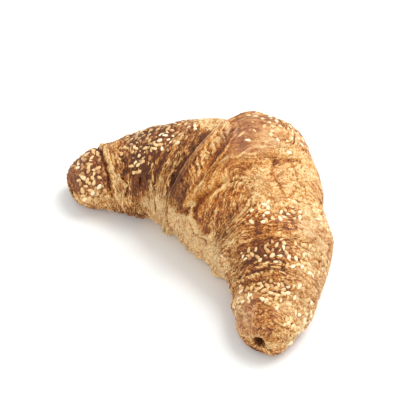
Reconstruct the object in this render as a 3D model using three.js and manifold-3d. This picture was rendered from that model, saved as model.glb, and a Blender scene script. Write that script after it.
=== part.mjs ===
// A seeded croissant: one crescent of rolled dough, its tongue folded over the top and
// its two arms stepping down, wrap by wrap, to hollow tips. Millimetres and degrees, +Z up.
// The arms lie along X and curl towards -Y. It rests on its flat baked underside at z = 0.
import * as THREE from "three";
import { mergeVertices } from "three/addons/utils/BufferGeometryUtils.js";
import Module from "manifold-3d";

// The crescent's middle line is an arc of a circle
const SPINE_RADIUS = 76;
const HALF_LENGTH = 96.2; // along the arc, from the middle to either tip
const CENTRE_SHIFT = { x: -0.15, y: 5.09 }; // sets the finished croissant's box on the origin

// The roll's section, before the wraps are laid on it
const BELLY_HALF_WIDTH = 31.3; // at the middle: it tapers towards the tips
const BELLY_HALF_HEIGHT = 26.6;
const WRAP_ALLOWANCE = { width: 6.3, height: 4.6 }; // what the wraps add back
const LEFT_TIP_SHARE = 0.5; // size of each tip against the belly
const RIGHT_TIP_SHARE = 0.57;
const TAPER_POWER = 1.08;
const AXIS_HEIGHT_SHARE = 0.78; // the roll sinks into its flat underside
const UNDERSIDE_ROUNDING = 3;

// The dough triangle, rolled up from its base and ending in the tongue. Each edge is given
// by [turn, place along the croissant]: turn 0 is the tongue's tip, and one more turn back
// round the roll comes to the wrap beneath it.
const TONGUE_TIP = { angle: 160, s: -10, rounding: 13 }; // 0 outside, 90 on top, 180 in the bay
const RIGHT_EDGE = [
  [0, -2], [0.05, 3], [0.08, 8.5], [0.115, 12.5], [0.15, 15], [0.2, 17], [0.28, 21], // the tongue
  [1, 48], [2, 68], [3, 88], [4, 108],
];
const LEFT_EDGE = [
  [0, -23], [0.06, -22.5], [0.15, -19.5], [0.2, -17.5], [0.28, -15], [0.45, -19], // the tongue
  [1, -46.5], [1.08, -47.5], [1.13, -43.5], [1.2, -37.5], [1.28, -31], [1.45, -38], // drawn back on top
  [2, -75], [2.11, -75.3], [2.2, -77], [2.28, -76.5], [3, -95], [4, -115],
];
const WRAP_THICKNESS = [[0, 5.4], [1, 3], [2, 2.6], [3, 2], [4, 0]]; // [turn, thickness]
const WRAP_EDGE_WIDTH = 3.8;
const WRAP_PUFF = 0.06; // how far a wrap swells, against the width that shows
const CREASE = { depth: 1.1, width: 1.9 };

// The share of each edge's step that is spread out over the crust beside it, as [turn, share]
const RIGHT_SPREAD = [
  [0, 0], [0.19, 0.05], [0.25, 0.95], [0.6, 0.9], [1, 0.72], [2, 0.66], [3, 0.7], [4, 0.7],
];
const LEFT_SPREAD = [
  [0, 0], [0.3, 0], [0.45, 0.8], [1, 0.75], [1.4, 0.7], [2, 0.25], [2.4, 0.3], [3, 0.5], [4, 0.5],
];
const SPREAD_WIDTH = 16;

// The tongue's left edge stands up as a smooth cord, and the crust beside it is drawn down
const TONGUE_CORD = { rise: 1.3, inside: 2.9, width: 2.2, angles: [76, 150], fade: 30 };
const TONGUE_HOLLOW = { rise: -1.6, inside: -3, width: 3.2, angles: [92, 148], fade: 26 };

// Where the dough has risen more, or less, than the plain roll: the middle of the swelling
// along the croissant and round its section, and how far it spreads each way
const SWELLINGS = [
  { name: "crown", rise: 10.6, s: -1.7, spread: 23.7, angle: 49, turn: 60 },
  { name: "outer belly", rise: 1.8, s: 1.2, spread: 15, angle: 19, turn: 40 },
  { name: "pillow right of the tongue", rise: 3, s: 26, spread: 16, angle: 104, turn: 40 },
  { name: "belly towards the bay", rise: 3.6, s: 2.7, spread: 30, angle: 205, turn: 40 },
  { name: "right shoulder", rise: 1.1, s: 41, spread: 10, angle: 12, turn: 40 },
  { name: "left shoulder", rise: 2.3, s: -36.7, spread: 15.6, angle: 63, turn: 40 },
  { name: "left arm's waist", rise: -1.8, s: -66.6, spread: 10.7, angle: 51, turn: 50 },
  { name: "left arm towards the bay", rise: 2.1, s: -70.2, spread: 22.3, angle: 198, turn: 45 },
  { name: "left tip", rise: 3.2, s: -83.6, spread: 6.2, angle: 55, turn: 50 },
  { name: "right tip towards the bay", rise: 3, s: 82.6, spread: 16.3, angle: 202, turn: 45 },
];
const LUMPS = [
  { rise: 0.5, wave: 34, turns: 2, phase: 0.4 },
  { rise: 0.4, wave: 21, turns: -3, phase: 2.1 },
  { rise: 0.28, wave: 13, turns: 5, phase: 4.0 },
];

// Tips: a blunt rounded end round the open middle of the roll
const TIP_LENGTH = 8.7;
const TIP_BLUNTNESS = 0.75;
const TIP_RIM_SHARE = 0.24;
const TIP_HOLE = [
  { back: 0.8, share: 0.17 },
  { back: 4.5, share: 0.12 },
];
const TIP_HOLE_DEPTH = 6;

// Mesh
const RINGS = 74;
const TIP_RINGS = 5;
const SIDES = 36;

// Sesame: where it was scattered, and a seed's size
const SEED_SIZE = { length: 3.3, width: 2.0, thickness: 1.5 };
const SEED_SINK = 0.15; // the seed's middle lies this far above the crust
const SEED_GAP = 2.6;
const SEED_BANDS = [
  { name: "left tip", s: [-86, -75], angle: [15, 178], count: 26 },
  { name: "left wrap", s: [-64, -45], angle: [10, 118], count: 31 },
  { name: "tongue's root", s: [-4, 16], angle: [8, 64], count: 19 },
  { name: "right first wrap", s: [35, 44], angle: [10, 116], count: 19 },
  { name: "right second wrap", s: [53, 66], angle: [12, 132], count: 26 },
  { name: "right tip", s: [73, 87], angle: [15, 150], count: 26 },
];

const radians = THREE.MathUtils.degToRad;
const clamp = THREE.MathUtils.clamp;
const smoothstep = THREE.MathUtils.smoothstep;
const bell = (x) => Math.exp(-x * x);
const angleFrom = (angle, middle) => ((((angle - middle + 180) % 360) + 360) % 360) - 180;

// A value read off a line of [place, value] points
function along(points, place) {
  const next = points.findIndex((point) => point[0] > place);
  if (next < 0) return points[points.length - 1][1];
  const [from, to] = [points[next - 1], points[next]];
  return from[1] + ((to[1] - from[1]) * (place - from[0])) / (to[0] - from[0]);
}

// The tongue's tip is round: both edges start from one point there
function tipRounding(turn) {
  const reach = clamp((turn * 360) / TONGUE_TIP.rounding, 0, 1);
  return Math.sqrt(1 - (1 - reach) ** 2);
}

function doughEdge(points, turn) {
  return TONGUE_TIP.s + (along(points, turn) - TONGUE_TIP.s) * tipRounding(turn);
}

// The step at one edge, from 0 outside to 1 inside: a rounded edge, and a share of it spread
function edgeStep(past, spread) {
  const sharp = Math.sqrt(1 - (1 - clamp(past / WRAP_EDGE_WIDTH, 0, 1)) ** 2);
  const soft = smoothstep(past, -SPREAD_WIDTH / 2, SPREAD_WIDTH / 2);
  return sharp + spread * (soft - sharp);
}

function creaseAt(past, spread) {
  return past < 0 ? (1 - spread) * CREASE.depth * bell(past / CREASE.width) : 0;
}

// How far the wraps stand above the core: each adds its thickness inside its own edges,
// with a step and a crease at each edge, and a swelling where it shows.
function wrapRelief(s, angle) {
  const firstTurn = ((((TONGUE_TIP.angle - angle) % 360) + 360) % 360) / 360;
  let relief = 0;
  for (let wrap = 0; wrap < WRAP_THICKNESS.length - 1; wrap++) {
    const turn = firstTurn + wrap;
    const right = doughEdge(RIGHT_EDGE, turn);
    const left = doughEdge(LEFT_EDGE, turn);
    const spreadRight = along(RIGHT_SPREAD, turn);
    const spreadLeft = along(LEFT_SPREAD, turn);
    const covered = edgeStep(right - s, spreadRight) * edgeStep(s - left, spreadLeft);
    relief += along(WRAP_THICKNESS, turn) * covered;
    relief -= (creaseAt(right - s, spreadRight) + creaseAt(s - left, spreadLeft)) * tipRounding(turn);
    if (wrap === 0) continue;
    const shows = s > 0 ? right - doughEdge(RIGHT_EDGE, turn - 1) : doughEdge(LEFT_EDGE, turn - 1) - left;
    const across = clamp(Math.min(right - s, s - left) / shows, 0, 1);
    const spread = s > 0 ? spreadRight : spreadLeft;
    relief += (1 - spread) * WRAP_PUFF * shows * 4 * across * (1 - across);
  }
  return relief + besideTongue(s, angle, firstTurn);
}

// The cord along the tongue's left edge and the hollow beside it
function besideTongue(s, angle, turn) {
  const fromEdge = s - doughEdge(LEFT_EDGE, turn);
  const ridge = ({ rise, inside, width, angles, fade }) => {
    const from = smoothstep(angle, angles[0] - fade / 2, angles[0] + fade / 2);
    const to = 1 - smoothstep(angle, angles[1] - fade / 2, angles[1] + fade / 2);
    return rise * from * to * bell((fromEdge - inside) / width);
  };
  return ridge(TONGUE_CORD) * smoothstep(fromEdge, -0.5, 1) + ridge(TONGUE_HOLLOW);
}

function swelling(s, angle) {
  let rise = 0;
  for (const bulge of SWELLINGS) {
    const share = bell((s - bulge.s) / bulge.spread);
    rise += bulge.rise * share * bell(angleFrom(angle, bulge.angle) / bulge.turn);
  }
  for (const lump of LUMPS) {
    const wave = (2 * Math.PI * s) / lump.wave + lump.turns * radians(angle) + lump.phase;
    rise += lump.rise * Math.sin(wave);
  }
  return rise;
}

// A point of the crust: s along the spine, angle round the section, share shrinks the tips
function crustPoint(s, angle, share) {
  const tip = s < 0 ? LEFT_TIP_SHARE : RIGHT_TIP_SHARE;
  const fall = Math.cos((Math.PI / 2) * Math.min(Math.abs(s) / HALF_LENGTH, 1)) ** TAPER_POWER;
  const taper = tip + (1 - tip) * fall;
  const grown = wrapRelief(s, angle) + swelling(s, angle);
  const halfWidth = BELLY_HALF_WIDTH * taper - WRAP_ALLOWANCE.width + grown;
  const halfHeight = BELLY_HALF_HEIGHT * taper - WRAP_ALLOWANCE.height + grown;
  const outward = SPINE_RADIUS + halfWidth * Math.cos(radians(angle)) * share;
  const raw = AXIS_HEIGHT_SHARE * BELLY_HALF_HEIGHT * taper + halfHeight * Math.sin(radians(angle)) * share;
  const bend = s / SPINE_RADIUS;
  return new THREE.Vector3(
    outward * Math.sin(bend) + CENTRE_SHIFT.x,
    outward * Math.cos(bend) - SPINE_RADIUS + CENTRE_SHIFT.y,
    flattened(raw),
  );
}

// Nothing reaches below the tray: the underside is flat, and rounds off into the sides
function flattened(z) {
  if (z > UNDERSIDE_ROUNDING) return z;
  if (z < -UNDERSIDE_ROUNDING) return 0;
  return (z + UNDERSIDE_ROUNDING) ** 2 / (4 * UNDERSIDE_ROUNDING);
}

// The rings along the croissant, from inside one tip's hole to inside the other's
function ringStations() {
  const straight = HALF_LENGTH - TIP_LENGTH;
  const rings = [];
  for (let i = 0; i <= RINGS; i++) {
    rings.push({ s: straight * ((2 * i) / RINGS - 1), share: 1 });
  }
  for (const side of [-1, 1]) {
    const tip = [];
    for (let i = 1; i <= TIP_RINGS; i++) {
      const quarter = (Math.PI / 2) * (i / TIP_RINGS);
      const reach = Math.sin(quarter) ** TIP_BLUNTNESS;
      const share = TIP_RIM_SHARE + (1 - TIP_RIM_SHARE) * Math.cos(quarter) ** TIP_BLUNTNESS;
      tip.push({ s: side * (straight + TIP_LENGTH * reach), share });
    }
    for (const hole of TIP_HOLE) {
      tip.push({ s: side * (HALF_LENGTH - hole.back), share: hole.share });
    }
    if (side < 0) rings.unshift(...tip.reverse());
    else rings.push(...tip);
  }
  return rings;
}

function apart(positions, i, j) {
  const [x, y, z] = [0, 1, 2].map((axis) => positions[3 * i + axis] - positions[3 * j + axis]);
  return Math.hypot(x, y, z);
}

function crustGeometry(rings) {
  const positions = [];
  for (const { s, share } of rings) {
    for (let side = 0; side < SIDES; side++) {
      positions.push(...crustPoint(s, (side * 360) / SIDES, share).toArray());
    }
  }
  const ends = [-1, 1].map((side) => {
    positions.push(...crustPoint(side * (HALF_LENGTH - TIP_HOLE_DEPTH), 0, 0).toArray());
    return positions.length / 3 - 1;
  });
  const index = [];
  for (let side = 0; side < SIDES; side++) {
    const next = (side + 1) % SIDES;
    for (let ring = 0; ring < rings.length - 1; ring++) {
      const a = ring * SIDES + side;
      const b = ring * SIDES + next;
      const c = a + SIDES;
      const d = b + SIDES;
      // the shorter diagonal, so that a wrap's edge runs clean across the grid
      if (apart(positions, a, d) < apart(positions, b, c)) index.push(a, b, d, a, d, c);
      else index.push(a, b, c, b, d, c);
    }
    const last = (rings.length - 1) * SIDES;
    index.push(ends[0], next, side);
    index.push(ends[1], last + side, last + next);
  }
  const geometry = new THREE.BufferGeometry();
  geometry.setAttribute("position", new THREE.Float32BufferAttribute(positions, 3));
  geometry.setIndex(index);
  return geometry;
}

// The crust under a seed, read from the mesh's own quads so that every seed is bedded in it
function crustFrame(rings, s, angle) {
  const ring = rings.findIndex((r, i) => r.share === 1 && rings[i + 1].s >= s);
  const side = Math.floor((angle * SIDES) / 360);
  const forward = (s - rings[ring].s) / (rings[ring + 1].s - rings[ring].s);
  const round = (angle * SIDES) / 360 - side;
  const corner = (i, j) => crustPoint(rings[ring + i].s, ((side + j) * 360) / SIDES, rings[ring + i].share);
  const near = corner(0, 0).lerp(corner(0, 1), round);
  const far = corner(1, 0).lerp(corner(1, 1), round);
  const start = corner(0, 0).lerp(corner(1, 0), forward);
  const end = corner(0, 1).lerp(corner(1, 1), forward);
  const tangent = far.clone().sub(near).normalize();
  const normal = new THREE.Vector3().crossVectors(end.sub(start), tangent).normalize();
  return { point: near.lerp(far, forward), tangent, normal };
}

// Whether the crust turns sharply within a seed's length
function creased(rings, s, angle) {
  const before = crustFrame(rings, s - 2, angle).normal;
  return before.dot(crustFrame(rings, s + 2, angle).normal) < 0.9;
}

// A small repeatable random source
function randomSource(state) {
  return () => {
    state = (Math.imul(state, 1664525) + 1013904223) >>> 0;
    return state / 2 ** 32;
  };
}

function seedGeometry({ point, tangent, normal }, heading, size) {
  const geometry = new THREE.SphereGeometry(0.5, 6, 2).rotateX(Math.PI / 2);
  geometry.scale(SEED_SIZE.length * size, SEED_SIZE.width * size, SEED_SIZE.thickness);
  const across = new THREE.Vector3().crossVectors(tangent, normal);
  const place = new THREE.Matrix4().makeBasis(across, tangent, normal);
  place.multiply(new THREE.Matrix4().makeRotationZ(heading));
  place.setPosition(point.clone().addScaledVector(normal, SEED_SINK));
  return geometry.applyMatrix4(place);
}

// Seeds fall at random inside each band and keep a gap from one another
function scatterSeeds(rings) {
  const random = randomSource(20);
  const placed = [];
  const seeds = [];
  for (const band of SEED_BANDS) {
    let left = band.count;
    for (let attempt = 0; attempt < 60 * band.count && left > 0; attempt++) {
      const s = band.s[0] + (band.s[1] - band.s[0]) * random();
      const angle = band.angle[0] + (band.angle[1] - band.angle[0]) * random();
      const frame = crustFrame(rings, s, angle);
      if (placed.some((other) => other.distanceTo(frame.point) < SEED_GAP)) continue;
      if (creased(rings, s, angle)) continue;
      placed.push(frame.point);
      seeds.push(seedGeometry(frame, Math.PI * random(), 0.9 + 0.2 * random()));
      left--;
    }
  }
  return seeds;
}

// Booleans: a closed geometry becomes a solid, and the joined solid a geometry again
const wasm = await Module();
wasm.setup();

function solidOf(geometry) {
  const bare = geometry.clone();
  bare.deleteAttribute("normal");
  bare.deleteAttribute("uv");
  const merged = mergeVertices(bare, 1e-4);
  return new wasm.Manifold(
    new wasm.Mesh({
      numProp: 3,
      vertProperties: new Float32Array(merged.attributes.position.array),
      triVerts: new Uint32Array(merged.index.array),
    }),
  );
}

function geometryOf(solid) {
  const mesh = solid.getMesh();
  const positions = new Float32Array(mesh.numVert * 3);
  for (let i = 0; i < mesh.numVert; i++) {
    positions.set(mesh.vertProperties.subarray(i * mesh.numProp, i * mesh.numProp + 3), i * 3);
  }
  const geometry = new THREE.BufferGeometry();
  geometry.setAttribute("position", new THREE.BufferAttribute(positions, 3));
  geometry.setIndex(new THREE.BufferAttribute(mesh.triVerts, 1));
  geometry.computeVertexNormals();
  return geometry;
}

function croissantGeometry() {
  const rings = ringStations();
  let solid = solidOf(crustGeometry(rings));
  for (const seed of scatterSeeds(rings)) solid = solid.add(solidOf(seed));
  const bodies = solid.decompose().sort((a, b) => b.volume() - a.volume());
  return geometryOf(bodies[0]); // without the pockets closed in under a seed
}

const bakedCrust = new THREE.MeshStandardMaterial({ color: "#c08a4e", roughness: 0.62, metalness: 0 });
const croissant = new THREE.Mesh(croissantGeometry(), bakedCrust);
croissant.name = "croissant";

const part = new THREE.Group();
part.add(croissant);
export default part;
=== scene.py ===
"""A sesame croissant: one crescent of rolled, laminated dough with its tongue folded over the top.

Places on the crust are given by s, millimetres along the croissant's middle line from -96 at the
left tip to +96 at the right one, and by an angle round the roll's section in degrees: 0 on the
outer side, 90 on top, 180 in the bay between the arms, and 270 underneath.
"""

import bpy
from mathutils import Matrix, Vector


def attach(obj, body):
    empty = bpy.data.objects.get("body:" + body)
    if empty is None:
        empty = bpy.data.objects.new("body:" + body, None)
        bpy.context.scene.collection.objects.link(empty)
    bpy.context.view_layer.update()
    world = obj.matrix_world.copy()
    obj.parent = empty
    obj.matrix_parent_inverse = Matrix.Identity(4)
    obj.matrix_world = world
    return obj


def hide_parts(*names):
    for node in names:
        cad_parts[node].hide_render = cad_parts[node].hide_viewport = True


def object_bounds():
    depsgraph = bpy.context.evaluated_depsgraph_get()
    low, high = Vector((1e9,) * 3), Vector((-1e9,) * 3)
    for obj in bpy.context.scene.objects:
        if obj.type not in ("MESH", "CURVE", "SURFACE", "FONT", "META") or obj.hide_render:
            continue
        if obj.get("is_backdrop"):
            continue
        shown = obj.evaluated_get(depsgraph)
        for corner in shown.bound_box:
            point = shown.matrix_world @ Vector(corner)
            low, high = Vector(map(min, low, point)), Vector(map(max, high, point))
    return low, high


bl_info = {
    "name": "Sesame croissant",
    "version": (1, 0, 0),
    "blender": (4, 5, 0),
    "location": "View3D > Sidebar > Croissant",
    "description": "A laminated croissant with sesame seeds, loose flakes and a pale studio floor",
    "category": "Object",
}

import bpy
import numpy as np
from mathutils import Matrix, Vector

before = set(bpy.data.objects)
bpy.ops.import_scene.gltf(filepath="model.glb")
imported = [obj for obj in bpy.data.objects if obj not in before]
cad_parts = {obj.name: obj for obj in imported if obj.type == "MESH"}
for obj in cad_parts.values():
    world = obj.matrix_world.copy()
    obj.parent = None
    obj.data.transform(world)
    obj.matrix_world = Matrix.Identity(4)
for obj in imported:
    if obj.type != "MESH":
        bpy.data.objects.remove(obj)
CAD_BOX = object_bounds()
MM = 0.001

# The crescent, as in the solid
CENTRE_SHIFT = (-0.15, 5.09)
WRAP_ALLOWANCE = (6.3, 4.6)
LEFT_TIP_SHARE = 0.5
RIGHT_TIP_SHARE = 0.57
TAPER_POWER = 1.08
AXIS_HEIGHT_SHARE = 0.78
UNDERSIDE_ROUNDING = 3.0
TIP_LENGTH = 8.7
TIP_BLUNTNESS = 0.75
TIP_RIM_SHARE = 0.28
TIP_HOLE_DEPTH = 7.0

# The dough's two edges as (turn, s), and its thickness as (turn, mm): turn 0 is the tongue's tip
TONGUE_TIP_ANGLE = 160.0
TONGUE_TIP_S = -10.0
TONGUE_TIP_ROUNDING = 13.0
RIGHT_EDGE = (
    (0, -3), (0.03, -1), (0.05, 1), (0.08, 5.8), (0.115, 9.6), (0.15, 12.2), (0.2, 14.5),
    (0.28, 20),
    (1, 48), (2, 68), (3, 88), (4, 108),
)
LEFT_EDGE = (
    (0, -23), (0.06, -22.5), (0.15, -19.5), (0.2, -17.5), (0.28, -15), (0.45, -19),
    (1, -46.5), (1.08, -47.5), (1.13, -43.5), (1.2, -37.5), (1.28, -31), (1.45, -38),
    (2, -75), (2.11, -75.3), (2.2, -77), (2.28, -76.5), (3, -95), (4, -115),
)
WRAP_THICKNESS = ((0, 1.0), (1, 3.0), (2, 2.6), (3, 2.0), (4, 0.0))
WRAP_EDGE_WIDTH = 3.2
WRAP_PUFF = 0.06
CREASE_DEPTH = 1.3
CREASE_WIDTH = 1.5

# The share of each edge's step that is spread out over the crust beside it, as (turn, share)
RIGHT_SPREAD = (
    (0, 0), (0.08, 0.1), (0.15, 0.5), (0.2, 0.8), (0.25, 0.95), (0.6, 0.9),
    (1, 0.72), (2, 0.66), (3, 0.7), (4, 0.7),
)
LEFT_SPREAD = (
    (0, 0), (0.3, 0), (0.45, 0.8), (1, 0.85), (1.4, 0.8), (2, 0.35), (2.4, 0.4), (3, 0.5), (4, 0.5),
)
SPREAD_WIDTH = 16.0

# Where the dough has risen more or less: rise, s, spread along, angle, spread round in degrees
SWELLINGS = (
    (10.6, -1.7, 23.7, 49, 60),
    (1.8, 1.2, 15, 19, 40),
    (1.1, 41, 10, 12, 40),
    (3.0, 26, 16, 104, 40),
    (3.6, 2.7, 30, 205, 40),
    (2.3, -36.7, 15.6, 63, 40),
    (-1.8, -66.6, 10.7, 51, 50),
    (2.1, -70.2, 22.3, 198, 45),
    (3.2, -83.6, 6.2, 55, 50),
    (3.0, 82.6, 16.3, 202, 45),
)
LUMPS = ((0.5, 34, 2, 0.4), (0.4, 21, -3, 2.1), (0.28, 13, 5, 4.0))  # rise, wave, turns, phase

# The crust's grid
BODY_RINGS = 308
TIP_RINGS = 26
HOLE_RINGS = 8
SIDES = 264
UNDERSIDE_DENSITY = 0.45  # of the sides per degree on top
MM_PER_DEGREE = 0.47  # round the belly's section

# How each part of the crust is baked, over a plain golden crust, with painted shade in a few
# rows. Each row says where, along and round the croissant, and adds to how dark, how golden and
# how mauve it is.
PLAIN_BAKE = (0.45, 0.45, 0.05)
BAKED_PARTS = (
    ("face towards the bay", (-50, 50), (160, 222), (-0.45, 0.1, 0.2)),
    ("underside", (-100, 100), (222, 320), (0.16, -0.1, 0.0)),
    ("left arm", (-100, -49), (-30, 165), (0.25, -0.05, 0.04)),
    # painted shade: this lower side of the left arm lies away from the light
    ("painted shade on the left arm's overhang", (-78, -52), (180, 215), (0.2, -0.25, 0.0)),
    ("left arm's darkest wrap", (-60, -47), (110, 158), (0.2, 0.0, 0.05)),
    ("left tip", (-100, -76), (-20, 150), (0.06, 0.15, 0.2)),
    ("left tip's lower rim", (-100, -75), (146, 205), (-0.16, 0.1, 0.0)),
    ("left arm among the seeds", (-68, -38), (40, 138), (0.42, 0.12, 0.0)),
    ("left band by the second edge", (-76, -63), (50, 200), (-0.3, 0.1, 0.0)),
    ("layers left of the tongue", (-48, -27), (108, 185), (-0.02, -0.15, 0.0)),
    # painted shade in the hollow beside the tongue's cord
    ("painted shade in the hollow left of the tongue", (-31, -23), (112, 148), (0.08, -0.1, 0.0)),
    ("porous crust left of the tongue", (-34, -18), (80, 112), (0.16, -0.15, 0.0)),
    ("band above it", (-29, -20), (20, 80), (-0.36, 0.0, 0.0)),
    ("crust among the upper seeds", (-42, -30), (10, 78), (0.08, 0.1, 0.0)),
    ("tongue's scorched tip", (-26, -6), (130, 157), (0.42, -0.4, 0.2)),
    ("scorched skin above the tip", (-22, -13), (116, 134), (0.18, -0.2, 0.1)),
    ("golden side of the tip", (-7, 0), (128, 150), (-0.14, 0.4, 0.0)),
    ("tongue's torn strip", (-16, -5), (76, 136), (-0.12, 0.5, 0.0)),
    ("skin beside the strip", (-5, 1), (76, 122), (0.26, 0.5, 0.0)),
    ("brown skin under its streaks", (2, 9), (84, 112), (0.2, 0.1, 0.25)),
    ("tongue's stretched skin", (0, 14), (102, 150), (-0.16, 0.5, 0.0)),
    ("pale leaves under its rim", (10.5, 16), (108, 127), (-0.34, -0.5, 0.0)),
    ("tongue's root", (-9, 12), (58, 98), (0.0, 0.0, 0.5)),
    ("streaked skin over the root", (3, 14), (46, 92), (-0.18, 0.1, -0.1)),
    ("crown's back", (-12, 16), (10, 60), (0.0, 0.1, 0.0)),
    ("pillow beside the tongue", (3, 27), (112, 162), (0.0, 0.55, 0.0)),
    ("crackled crust above it", (20, 27), (76, 94), (0.16, 0.2, 0.0)),
    ("pillow's crown", (17, 38), (70, 114), (-0.3, 0.0, 0.0)),
    ("crackled shoulder", (12, 40), (10, 74), (-0.25, 0.1, 0.0)),
    ("band by the first edge", (40, 50), (74, 128), (0.14, 0.42, 0.0)),
    ("right first wrap's seeds", (32, 42), (66, 112), (0.16, 0.2, 0.0)),
    ("first wrap's outer side", (38, 53), (30, 76), (-0.12, 0.0, 0.1)),
    ("right arm among the seeds", (51, 66), (80, 140), (0.46, 0.36, 0.0)),
    ("right arm's layers between the seeds", (62, 72), (84, 150), (0.14, 0.1, 0.0)),
    ("right arm's darkest strip", (57, 66), (96, 136), (0.14, 0.1, 0.0)),
    ("right third wrap's seeds", (71, 79), (76, 150), (0.24, 0.15, 0.0)),
    ("right tip's shoulder", (80, 91), (46, 84), (-0.16, 0.0, 0.0)),
    ("right arm towards the bay", (38, 66), (134, 200), (-0.04, -0.25, 0.0)),
    ("right arm's outer side", (40, 84), (-20, 66), (-0.18, -0.1, 0.25)),
    ("right tip's top", (84, 97), (50, 135), (0.06, 0.3, 0.15)),
    ("right tip towards the bay", (76, 97), (116, 185), (-0.12, 0.0, 0.5)),
    ("right tip's outer side", (80, 97), (-30, 45), (-0.2, 0.25, 0.0)),
)

# Lines and pits drawn on the crust, as (s, angle) points
CRUST_LINES = (  # points, height and width in mm, how much darker
    ("thin skin's edge over the bay",
     ((-0.5, 151), (0.5, 156), (4.5, 161.5), (13, 167.5), (20, 169), (25, 166.5), (30, 158)),
     2.0, 0.9, -0.95),
    ("shadow outside the skin's edge",
     ((-3, 157), (0, 162), (4, 166.5), (12, 171.5), (20, 173), (26, 170)), -0.7, 0.8, 0.4),
    # painted shade on the pillow just inside the skin's edge
    ("painted shade inside the skin's edge",
     ((5, 142), (3.5, 150), (7, 156), (12, 161), (18, 163), (24, 160)), -0.6, 2.0, 0.28),
    ("shadow under the tongue's tip",
     ((-24, 134), (-25, 146), (-22.5, 157), (-17, 163), (-10, 164), (-4, 161)), -1.2, 0.8, 0.3),
    ("ridge round the hollow", ((-32, 114), (-28, 107), (-24, 109), (-22.5, 117)), 1.0, 0.7, -0.15),
    ("second ridge", ((-31, 124), (-27, 115), (-24.5, 121)), 0.8, 0.6, -0.1),
    ("shoulder's long crack", ((16, 73), (21, 80), (27, 77), (33, 77)), -0.6, 0.35, 0.24),
    ("shoulder's second crack", ((16, 60), (24, 57), (31, 57)), -0.5, 0.3, 0.2),
    ("shoulder's cross crack", ((33, 92), (34, 76), (36, 58)), -0.5, 0.35, 0.18),
    ("crack above the seeds", ((16.5, 73), (16, 64), (17, 50)), -0.5, 0.35, 0.18),
    # painted shade in the fold
    ("fold by the pillow", ((14, 112), (18, 106), (24, 104), (28, 106)), -0.8, 0.6, 0.16),
    ("torn strip's dark edge",
     ((-3.5, 134), (-3, 124), (-3, 110), (-4, 96), (-6, 84)), -0.2, 1.1, 0.12),
    ("thin ridge beside it",
     ((-0.5, 139), (0.2, 128), (0, 114), (-1.2, 100), (-3, 88)), 0.6, 0.5, -0.35),
    ("streak on the tongue's skin", ((0, 112), (5, 100), (8, 88)), 0.7, 0.4, -0.25),
    ("streak on the root", ((7, 92), (9, 80), (9, 68)), 0.5, 0.4, -0.2),
    ("left arm's curled skin",
     ((-70, 96), (-69, 108), (-66, 124), (-69, 138), (-65, 152), (-68, 166)), 1.1, 0.6, -0.35),
    # painted shade in the gap beside the curled skin
    ("gap beside it",
     ((-68, 100), (-64, 124), (-67, 138), (-63, 150), (-65, 166)), -0.9, 0.6, 0.35),
    ("left arm's second curl", ((-62, 112), (-61, 130), (-63, 146), (-60, 164)), 0.9, 0.5, -0.3),
    ("left arm's pale ridge",
     ((-76, 50), (-74.8, 90), (-73.2, 120), (-72.6, 150), (-72, 172)), 1.0, 0.8, -0.4),
    # painted shadow beside the left arm's pale ridge
    ("painted shadow beside the ridge",
     ((-78.5, 50), (-77.3, 90), (-75.7, 120), (-75.1, 150), (-74.5, 172)), -0.6, 0.8, 0.2),
    ("layer's edge by the first wrap",
     ((-40, 100), (-45, 125), (-46, 150), (-43, 176)), 0.7, 0.6, -0.25),
    ("layer's edge further in", ((-34, 104), (-38, 125), (-39, 150), (-36, 184)), 0.8, 0.6, -0.3),
    # painted shade in the gap between the layers' edges
    ("gap between them", ((-37, 104), (-41.5, 125), (-42.5, 150), (-39.5, 180)), -0.9, 0.6, 0.35),
    ("layer's edge over the hollow",
     ((-30, 128), (-33, 145), (-32, 165), (-28, 190)), 0.8, 0.6, -0.3),
    # painted shade in the gap under the layer's edge
    ("gap under it", ((-29, 134), (-30.5, 150), (-28, 172), (-25, 190)), -0.9, 0.6, 0.35),
    ("right arm's layer",
     ((64, 150), (66, 130), (66, 112), (64.5, 96), (65, 84)), 0.7, 0.45, -0.15),
    ("right arm's next layer",
     ((68, 155), (69.5, 130), (69.5, 110), (68.5, 90), (69, 78)), 0.8, 0.45, -0.15),
    # painted shade in the gap between the right layers
    ("gap between the right layers",
     ((66, 152), (67.8, 130), (67.8, 110), (66.5, 92), (67, 80)), -0.8, 0.5, 0.35),
    ("right arm's first lip",
     ((44, 150), (48.5, 130), (50, 112), (49.5, 90), (50, 66), (48, 40)), 0.5, 0.6, -0.2),
    ("pale line by the first lip", ((36, 128), (40, 118), (46, 112)), 0.6, 0.5, -0.3),
)
PITS = (  # s, angle, half length, half width in mm, depth
    (-54.6, 145, 0.9, 2.6, 3.0),
    (-43.0, 195, 0.9, 1.3, 1.8),
    (-13.5, 161, 4.0, 0.9, 1.6),
    (-94.0, 158, 1.0, 1.4, 1.5),
    (38.0, 143, 1.3, 1.0, 1.2),
    (27.0, 152, 0.9, 0.8, 1.0),
    (48.0, 206, 1.4, 1.4, 1.8),
    (93.5, 205, 1.0, 1.2, 1.4),
    (63.0, 20, 0.7, 0.7, 0.9),
)

# Where the dough's layers show, over a faint trace of them everywhere: how clearly, along, around
FAINT_LAYERS = 0.15
LAYER_SPACING = 1.5
LAYERED_PARTS = (
    (1.0, (-49, -24), (104, 196)),
    (0.8, (-74, -50), (118, 200)),
    (0.7, (-76, -62), (50, 130)),
    (0.6, (36, 52), (60, 205)),
    (1.2, (60, 71), (78, 170)),
    (0.4, (50, 92), (-20, 66)),
    (0.5, (84, 97), (0, 200)),
)

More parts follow.
